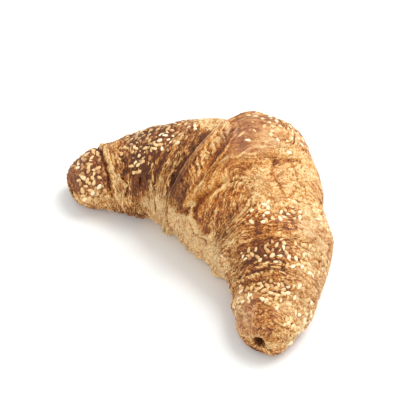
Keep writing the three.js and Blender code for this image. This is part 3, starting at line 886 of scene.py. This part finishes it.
def laminated_crust_material(colours):
    """Baked puff dough, egg-washed and rolled: leaves of crust from pale dough to scorched brown.
    The bake comes from the crust's own attributes, which also hold painted shade in the hollows,
    creases and gaps, and mottling, pores, grain, threads and torn leaves break it up."""
    material, tree = new_material("laminated_crust")
    place = add_node(tree, "ShaderNodeTexCoord").outputs["Object"]
    bake, gold, mauve, across, along, shown = (
        add_node(tree, "ShaderNodeAttribute", attribute_name=name).outputs["Fac"]
        for name in ("bake", "gold", "mauve", "across_fibres", "along_fibres", "fibrous"))
    mottle = add_node(tree, "ShaderNodeTexNoise", {
        "Vector": place, "Scale": per_mm(2.4), "Detail": 5.0, "Roughness": 0.62,
        "Distortion": 0.6})
    grain = add_node(tree, "ShaderNodeTexNoise", {
        "Vector": place, "Scale": per_mm(0.9), "Detail": 3.0, "Roughness": 0.6})
    pores = add_node(tree, "ShaderNodeTexVoronoi", {
        "Vector": place, "Scale": per_mm(1.5), "Randomness": 1.0})
    # threads 0.8 mm apart and leaves 2.4 mm wide, drawn out along the fibres
    spot = add_node(tree, "ShaderNodeCombineXYZ", {"X": across, "Y": along})
    thread = add_node(tree, "ShaderNodeMapping", {"Vector": spot, "Scale": (1 / 0.8, 1 / 4, 1)})
    thread = add_node(tree, "ShaderNodeTexNoise", {
        "Vector": thread, "Scale": 1.0, "Detail": 3.0, "Roughness": 0.65, "Distortion": 0.3})
    leaf = add_node(tree, "ShaderNodeMapping", {"Vector": spot, "Scale": (1 / 2.4, 1 / 4.5, 1)})
    frayed = add_node(tree, "ShaderNodeVectorMath", {
        0: thread.outputs["Color"], 1: (0.5, 0.5, 0.0), 2: leaf}, operation="MULTIPLY_ADD")
    leaf = add_node(tree, "ShaderNodeTexVoronoi", {
        "Vector": frayed, "Scale": 1.0}, feature="DISTANCE_TO_EDGE")
    torn = add_node(tree, "ShaderNodeMapRange", {
        "Value": leaf, "From Min": 0.0, "From Max": 0.1, "To Min": 0.2, "To Max": -0.03})
    mottled, grained, threaded = (
        add_node(tree, "ShaderNodeMath", {0: pattern, 1: gain, 2: -gain / 2},
                 operation="MULTIPLY_ADD")
        for pattern, gain in ((mottle, 0.28), (grain, 1.4), (thread, 2.2)))
    threaded = add_node(tree, "ShaderNodeMath", {0: threaded, 1: torn}, operation="ADD")
    threaded = add_node(tree, "ShaderNodeMath", {0: threaded, 1: shown}, operation="MULTIPLY")
    # the mauve skin is smooth, so the patterns are calmer there
    calm = add_node(tree, "ShaderNodeMath", {0: mauve, 1: -1.1, 2: 1.0}, operation="MULTIPLY_ADD")
    total = bake
    for more in (mottled, grained, threaded):
        broken = add_node(tree, "ShaderNodeMath", {0: more, 1: calm}, operation="MULTIPLY")
        total = add_node(tree, "ShaderNodeMath", {0: total, 1: broken}, operation="ADD")
    shade, golden, purple = (
        add_node(tree, "ShaderNodeValToRGB", {"Fac": total}, stops=stops) for stops in (
            ((0.0, colours.pale), (0.95, colours.dark), (0.33, colours.tan),
             (0.62, colours.brown)),
            ((0.0, colours.gold_pale), (0.95, colours.gold_dark), (0.33, colours.gold),
             (0.62, colours.gold_brown)),
            ((0.05, colours.mauve_pale), (0.9, colours.mauve_dark), (0.45, colours.mauve))))
    for share, other in ((gold, golden), (mauve, purple)):
        mixed = add_node(tree, "ShaderNodeMix", {0: share, 6: shade, 7: other}, data_type="RGBA")
        shade = mixed.outputs[2]
    pore = add_node(tree, "ShaderNodeMapRange", {
        "Value": pores, "From Min": 0.08, "From Max": 0.32, "To Min": 0.55, "To Max": 1.0})
    shade = add_node(tree, "ShaderNodeMix", {
        0: 1.0, 6: shade, 7: pore}, data_type="RGBA", blend_type="MULTIPLY").outputs[2]
    gloss = add_node(tree, "ShaderNodeMapRange", {
        "Value": mottle, "From Min": 0.3, "From Max": 0.7, "To Min": 0.45, "To Max": 0.75})
    bump = add_node(tree, "ShaderNodeBump", {
        "Height": grain, "Strength": 1.0, "Distance": 0.6 * MM})
    for pattern, strength, distance in ((mottle, 0.7, 0.8), (thread, 1.0, 1.0)):
        bump = add_node(tree, "ShaderNodeBump", {
            "Height": pattern, "Normal": bump, "Strength": strength, "Distance": distance * MM})
    washed = add_node(tree, "ShaderNodeMath", {0: gold, 1: 0.22}, operation="MULTIPLY")
    surface = add_node(tree, "ShaderNodeBsdfPrincipled", {
        "Base Color": shade, "Roughness": gloss, "Normal": bump, "IOR": 1.45,
        "Specular IOR Level": 0.3, "Coat Weight": washed, "Coat Roughness": 0.28})
    add_node(tree, "ShaderNodeOutputMaterial", {"Surface": surface})
    return material


def uneven(tree, attribute, size, detail, gain):
    """A piece's own number with noise of this size in millimetres added. Gives the sum and the
    noise."""
    place = add_node(tree, "ShaderNodeTexCoord").outputs["Object"]
    own = add_node(tree, "ShaderNodeAttribute", attribute_name=attribute).outputs["Fac"]
    mottle = add_node(tree, "ShaderNodeTexNoise", {
        "Vector": place, "Scale": per_mm(size), "Detail": detail})
    more = add_node(tree, "ShaderNodeMath", {0: mottle, 1: gain, 2: -gain / 2},
                    operation="MULTIPLY_ADD")
    return add_node(tree, "ShaderNodeMath", {0: own, 1: more}, operation="ADD"), mottle


def sesame_material(colours):
    """Hulled sesame baked on the crust: ivory where it stayed raw, golden to toasted elsewhere,
    with a faint sheen from its oil."""
    material, tree = new_material("baked_sesame")
    toast, mottle = uneven(tree, "toast", 0.8, 3.0, 0.28)
    shade = add_node(tree, "ShaderNodeValToRGB", {"Fac": toast}, stops=(
        (0.05, colours.seed_ivory), (1.0, colours.seed_toasted), (0.5, colours.seed_golden)))
    bump = add_node(tree, "ShaderNodeBump", {
        "Height": mottle, "Strength": 0.3, "Distance": 0.15 * MM})
    surface = add_node(tree, "ShaderNodeBsdfPrincipled", {
        "Base Color": shade, "Normal": bump, "Roughness": 0.42, "IOR": 1.47})
    add_node(tree, "ShaderNodeOutputMaterial", {"Surface": surface})
    return material


def flake_material(colours):
    """Single leaves of dried dough: thin, dull and pale gold, browner at some."""
    material, tree = new_material("dry_dough_leaf")
    bake, _ = uneven(tree, "bake", 1.1, 4.0, 0.5)
    shade = add_node(tree, "ShaderNodeValToRGB", {"Fac": bake}, stops=(
        (0.0, colours.pale), (1.0, colours.brown), (0.55, colours.tan)))
    surface = add_node(tree, "ShaderNodeBsdfPrincipled", {
        "Base Color": shade, "Roughness": 0.6, "IOR": 1.45})
    add_node(tree, "ShaderNodeOutputMaterial", {"Surface": surface})
    return material


def unit(directions):
    """Directions brought to a length of one."""
    return directions / np.linalg.norm(directions, axis=-1, keepdims=True)


def crust_frames(form, s, angle):
    """Places on the crust with the directions along it, across it and out of it. All come from
    points 0.9 mm to either side, and the place is raised to the highest of them, so that small
    relief doesn't tip or bury a seed."""
    step = FRAME_REACH / MM_PER_DEGREE
    ahead, behind, over, under = (
        crust_point(form, s + ds, angle + turned, np.ones(s.shape))[0]
        for ds, turned in ((FRAME_REACH, 0), (-FRAME_REACH, 0), (0, step), (0, -step)))
    along = unit(ahead - behind)
    outward = unit(np.cross(ahead - behind, over - under))
    middle = (ahead + behind + over + under) / 4
    near = np.stack([ahead, behind, over, under, crust_point(form, s, angle, np.ones(s.shape))[0]])
    highest = np.einsum("nvi,vi->nv", near - middle, outward).max(0)
    return middle + outward * highest[:, None], along, np.cross(outward, along), outward


def scattered_seeds(rng):
    """Seeds dropped at random in each band, thicker in some places than others. One that falls
    within the spacing of one already there is left out. Gives s, angle and toast of each."""
    places = []
    for number, (_, along, around, tries, darker) in enumerate(SEED_BANDS):
        s = rng.uniform(*along, tries)
        angle = rng.uniform(*around, tries)
        y = angle * MM_PER_DEGREE
        clump = noise(s, y, SEED_CLUMP, SEED_CLUMP, 201 + number) + 0.25
        border = np.minimum.reduce([s - along[0], along[1] - s]) / 3
        kept = rng.random(tries) < smooth(0.5 + 0.8 * clump) * smooth(0.35 + border)
        toast = np.clip(rng.normal(SEED_TOAST[0] + darker, SEED_TOAST[1], tries), 0, 1)
        places.append(np.stack([s, angle, toast], 1)[kept])
    places = np.concatenate([np.array(SINGLE_SEEDS), *places])
    flat = places[:, :2] * (1, MM_PER_DEGREE)
    settled = [0]
    for number in range(1, len(flat)):
        if np.hypot(*(flat[settled] - flat[number]).T).min() > SEED_SPACING:
            settled.append(number)
    return places[settled]


def seed_shape(form, rings=4, sides=6):
    """One seed, long along x: an ellipse in section whose width follows a half circle along
    its length, drawn in towards one end. Both ends close on a point."""
    place = -np.cos(np.pi * np.arange(1, rings + 1) / (rings + 1))
    girth = np.sqrt(1 - place**2) * (1 - 0.3 * place)
    round_it = 2 * np.pi * np.arange(sides) / sides
    x = np.repeat(place[:, None], sides, 1) * form.seed_length / 2
    y = girth[:, None] * np.cos(round_it) * form.seed_width / 2
    z = girth[:, None] * np.sin(round_it) * form.seed_thickness / 2
    ends = np.array([[-form.seed_length / 2, 0, 0], [form.seed_length / 2, 0, 0]])
    points = np.concatenate([np.stack([x, y, z], -1).reshape(-1, 3), ends])
    return points, capped_tube_faces(rings, sides)


def copies(points, faces, axes, places):
    """Sets one small shape at many places. axes holds each copy's three directions."""
    moved = np.einsum("vi,nij->nvj", points, axes) + places[:, None, :]
    shifts = np.arange(len(places)) * len(points)
    all_faces = [[corner + shift for corner in face] for shift in shifts.tolist() for face in faces]
    return moved.reshape(-1, 3), all_faces


def slivers(start, along, outward, length, width, thickness, lift, curl, rings=6, sides=6):
    """Thin pointed leaves, each a flat oval section carried along a path. The path leaves the
    start along one direction, rises by lift times the square of the way and turns aside by curl
    times the same. The width follows a half sine to the power of 0.7, and the thickness that to
    the power of 0.3."""
    way = np.linspace(0, 1, rings)
    round_it = 2 * np.pi * np.arange(sides) / sides
    aside = np.cross(outward, along)
    swell = np.maximum(np.sin(np.pi * (0.12 + 0.86 * way)), 0.05) ** 0.7
    path = (
        start[:, None]
        + along[:, None] * (length[:, None] * way)[..., None]
        + outward[:, None] * (lift[:, None] * way**2)[..., None]
        + aside[:, None] * (curl[:, None] * way**2)[..., None]
    )
    half_width = (width[:, None] * swell / 2)[..., None, None] * np.cos(round_it)[:, None]
    half_depth = (thickness * swell**0.3 / 2)[..., None, None] * np.sin(round_it)[:, None]
    points = path[:, :, None] + half_width * aside[:, None, None]
    points = points + half_depth * outward[:, None, None]
    faces = []
    for first in (np.arange(len(start)) * rings * sides).tolist():
        faces += tube_faces(rings, sides, first)
        faces.append(list(range(first, first + sides))[::-1])
        faces.append(list(range(first + (rings - 1) * sides, first + rings * sides)))
    return points.reshape(-1, 3), faces


class CROISSANT_OT_crust(bpy.types.Operator):
    """Bakes the crust: the whole crescent with its wraps, tongue, layers and hollow tips"""

    bl_idname = "croissant.crust"
    bl_label = "Crust"

    def execute(self, context):
        form, colours = context.scene.croissant_sizes, context.scene.croissant_colours
        s, share = crust_stations(form)
        angle = crust_angles()
        places = (s[:, None], angle[None, :])
        points, fine, inside, shade, top = crust_point(form, *places, share[:, None])
        bake, gold, mauve = baking(*places, fine, inside, shade, top)
        # painted shade deep inside each tip's hole; the torn rim round it is paler
        hole_shade = smooth((TIP_RIM_SHARE - share + 0.02) / 0.1)[:, None]
        rim = bell((share - TIP_RIM_SHARE - 0.1) / 0.1)[:, None]
        across, along = fibre_place(*places)
        values = {
            "bake": np.clip(bake + 0.5 * hole_shade - 0.3 * rim, 0, 1), "gold": gold, "mauve": mauve,
            "across_fibres": across, "along_fibres": along, "fibrous": fibrous(*places)}
        values = {label: np.append(value.ravel(), [value[0].mean(), value[-1].mean()])
                  for label, value in values.items()}
        closed = np.concatenate([points.reshape(-1, 3), [points[0].mean(0), points[-1].mean(0)]])
        faces = capped_tube_faces(len(s), len(angle))
        crust = mesh_piece("crust", closed, faces, laminated_crust_material(colours), values)
        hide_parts("croissant")
        return {"FINISHED"}


class CROISSANT_OT_seeds(bpy.types.Operator):
    """Scatters the sesame in its bands, each seed bedded in the crust"""

    bl_idname = "croissant.seeds"
    bl_label = "Sesame seeds"

    def execute(self, context):
        form, colours = context.scene.croissant_sizes, context.scene.croissant_colours
        rng = np.random.default_rng(7)
        s, angle, toast = scattered_seeds(rng).T
        point, along, across, outward = crust_frames(form, s, angle)
        heading = rng.uniform(0, 2 * np.pi, len(s))[:, None]
        lean = np.radians(rng.normal(0, SEED_LEAN, len(s)))[:, None]
        long_way = np.cos(heading) * along + np.sin(heading) * across
        wide_way = np.cross(outward, long_way)
        tipped = np.cos(lean) * long_way + np.sin(lean) * outward
        raised = np.cross(tipped, wide_way)
        size = rng.uniform(*SEED_SCALES, len(s))[:, None]
        axes = np.stack([tipped * size, wide_way * size, raised * size], 1)
        bedded = point + outward * rng.uniform(0.0, SEED_LIFT, len(s))[:, None] * MM
        shape, shape_faces = seed_shape(form)
        points, faces = copies(shape, shape_faces, axes, bedded)
        colour = {"toast": np.repeat(toast, len(shape))}
        mesh_piece("sesame_seeds", points, faces, sesame_material(colours), colour)
        return {"FINISHED"}


class CROISSANT_OT_flakes(bpy.types.Operator):
    """Lifts loose flakes off the layers and frays the rim above the ground into whiskers"""

    bl_idname = "croissant.flakes"
    bl_label = "Flakes and whiskers"

    def execute(self, context):
        form, colours = context.scene.croissant_sizes, context.scene.croissant_colours
        material = flake_material(colours)
        rng = np.random.default_rng(17)
        where = np.concatenate([
            np.stack([rng.uniform(*along, count), rng.uniform(*around, count)], 1)
            for along, around, count in FLAKE_STRETCHES])
        point, along, across, outward = crust_frames(form, *where.T)
        count = len(where)
        heading = rng.normal(np.pi / 2, 0.5, count)[:, None]
        way = np.cos(heading) * along + np.sin(heading) * across
        length = form.flake_length * rng.uniform(0.5, 1.3, count)
        points, faces = slivers(
            point - outward * 0.2 * MM, way, outward, length, rng.uniform(0.7, 1.7, count) * MM,
            FLAKE_THICKNESS * MM, rng.uniform(0.0, 0.7, count) * MM,
            rng.normal(0, 0.8, count) * MM)
        bake = np.repeat(rng.uniform(0.35, 0.8, count), len(points) // count)
        mesh_piece("crust_flakes", points, faces, material, {"bake": bake})

        s = np.concatenate([rng.uniform(*along, count) for along, count in WHISKER_STRETCHES])
        count = len(s)
        point, along, _, outward = crust_frames(form, s, rng.uniform(*WHISKER_ANGLES, count))
        down = np.array([0, 0, -1.0]) + 0.5 * outward
        down = unit(down + rng.normal(0, 0.35, (count, 1)) * along)
        side_on = unit(np.cross(down, along))
        room = np.maximum(point[:, 2] - 0.4 * MM, 0.8 * MM)
        length = np.minimum(rng.uniform(1.2, 4.2, count) * MM, room)
        points, faces = slivers(
            point, down, side_on, length, rng.uniform(0.35, 0.9, count) * MM,
            WHISKER_THICKNESS * MM, rng.normal(0, 0.5, count) * MM,
            rng.normal(0, 0.5, count) * MM, rings=5, sides=5)
        points[:, 2] = np.maximum(points[:, 2], 0.02 * MM)  # none reaches into the floor
        bake = np.repeat(rng.uniform(0.0, 0.35, count), len(points) // count)
        mesh_piece("rim_whiskers", points, faces, material, {"bake": bake})
        return {"FINISHED"}


def view_axes():
    """The view's directions: right, towards the camera, up in the picture, and level towards
    the viewer."""
    azimuth, elevation = np.radians([VIEW_AZIMUTH, VIEW_ELEVATION])
    right = Vector((np.cos(azimuth), np.sin(azimuth), 0))
    level = Vector((np.sin(azimuth), -np.cos(azimuth), 0))
    back = level * np.cos(elevation) + Vector((0, 0, np.sin(elevation)))
    return right, back, back.cross(right), level


class CROISSANT_OT_stage(bpy.types.Operator):
    """Sets the pale floor, the soft studio light and the camera"""

    bl_idname = "croissant.stage"
    bl_label = "Stage"

    def execute(self, context):
        colours = context.scene.croissant_colours
        right, back, up, level = view_axes()
        aim = Vector((*CENTRE_SHIFT, 0)) * MM
        eye = aim + back * VIEW_DISTANCE * MM
        look = (aim + (right * SPOT_RIGHT + up * SPOT_UP) * MM - eye).normalized()
        camera = bpy.data.objects.new("camera", bpy.data.cameras.new("camera"))
        camera.data.sensor_width = SENSOR
        camera.data.lens = FOCAL_PIXELS * SENSOR / PHOTO_PIXELS
        sideways = (right + look * -right.dot(look)).normalized()
        axes = Matrix((sideways, sideways.cross(look), -look)).transposed()
        camera.matrix_world = Matrix.Translation(eye) @ axes.to_4x4()
        context.collection.objects.link(camera)
        context.scene.camera = camera

        material, tree = new_material("pale_floor")
        surface = add_node(tree, "ShaderNodeBsdfPrincipled", {
            "Base Color": (*colours.floor, 1), "Roughness": 0.9, "Specular IOR Level": 0.0})
        add_node(tree, "ShaderNodeOutputMaterial", {"Surface": surface})
        corners = [(x * FLOOR_REACH, y * FLOOR_REACH, 0)
                   for x, y in ((-1, -1), (1, -1), (1, 1), (-1, 1))]
        mesh = bpy.data.meshes.new("floor")
        mesh.from_pydata(corners, [], [(0, 1, 2, 3)])
        mesh.materials.append(material)
        floor = bpy.data.objects.new("floor", mesh)
        context.collection.objects.link(floor)
        floor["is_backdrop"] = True

        for name, (aside, away, high), power, size in LIGHTS:
            lamp = bpy.data.lights.new(name, "AREA")
            lamp.energy = power
            lamp.size = size
            light = bpy.data.objects.new(name, lamp)
            light.location = right * aside - level * away + Vector((0, 0, high))
            light.rotation_euler = light.location.to_track_quat("Z", "Y").to_euler()
            context.collection.objects.link(light)
        world = bpy.data.worlds.new("soft_sky")
        world.use_nodes = True
        sky = world.node_tree.nodes["Background"]
        sky.inputs["Color"].default_value = SKY_COLOUR
        sky.inputs["Strength"].default_value = SKY_STRENGTH
        context.scene.world = world
        context.scene.view_settings.view_transform = "Standard"
        return {"FINISHED"}


OPERATORS = (CROISSANT_OT_crust, CROISSANT_OT_seeds, CROISSANT_OT_flakes, CROISSANT_OT_stage)


class CROISSANT_PT_panel(bpy.types.Panel):
    """Every step of the build, and its sizes and colours"""

    bl_label = "Croissant"
    bl_idname = "CROISSANT_PT_panel"
    bl_space_type = "VIEW_3D"
    bl_region_type = "UI"
    bl_category = "Croissant"

    def draw(self, context):
        for operator in OPERATORS:
            self.layout.operator(operator.bl_idname)
        for group in (context.scene.croissant_sizes, context.scene.croissant_colours):
            for name in group.__annotations__:
                self.layout.prop(group, name)


CLASSES = (CroissantSizes, CroissantColours, *OPERATORS, CROISSANT_PT_panel)


def register():
    """Adds the classes, and their settings to the scene."""
    for kind in CLASSES:
        bpy.utils.register_class(kind)
    bpy.types.Scene.croissant_sizes = bpy.props.PointerProperty(type=CroissantSizes)
    bpy.types.Scene.croissant_colours = bpy.props.PointerProperty(type=CroissantColours)


def unregister():
    """Takes the settings and the classes away."""
    del bpy.types.Scene.croissant_colours
    del bpy.types.Scene.croissant_sizes
    for kind in reversed(CLASSES):
        bpy.utils.unregister_class(kind)


def main():
    """Builds every piece and the stage."""
    register()
    bpy.ops.croissant.crust()
    bpy.ops.croissant.seeds()
    bpy.ops.croissant.flakes()
    bpy.ops.croissant.stage()
    boxes = {"cad": CAD_BOX, "visual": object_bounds()}
    boxes = {name: [list(corner) for corner in box] for name, box in boxes.items()}


if __name__ == "__main__":
    main()
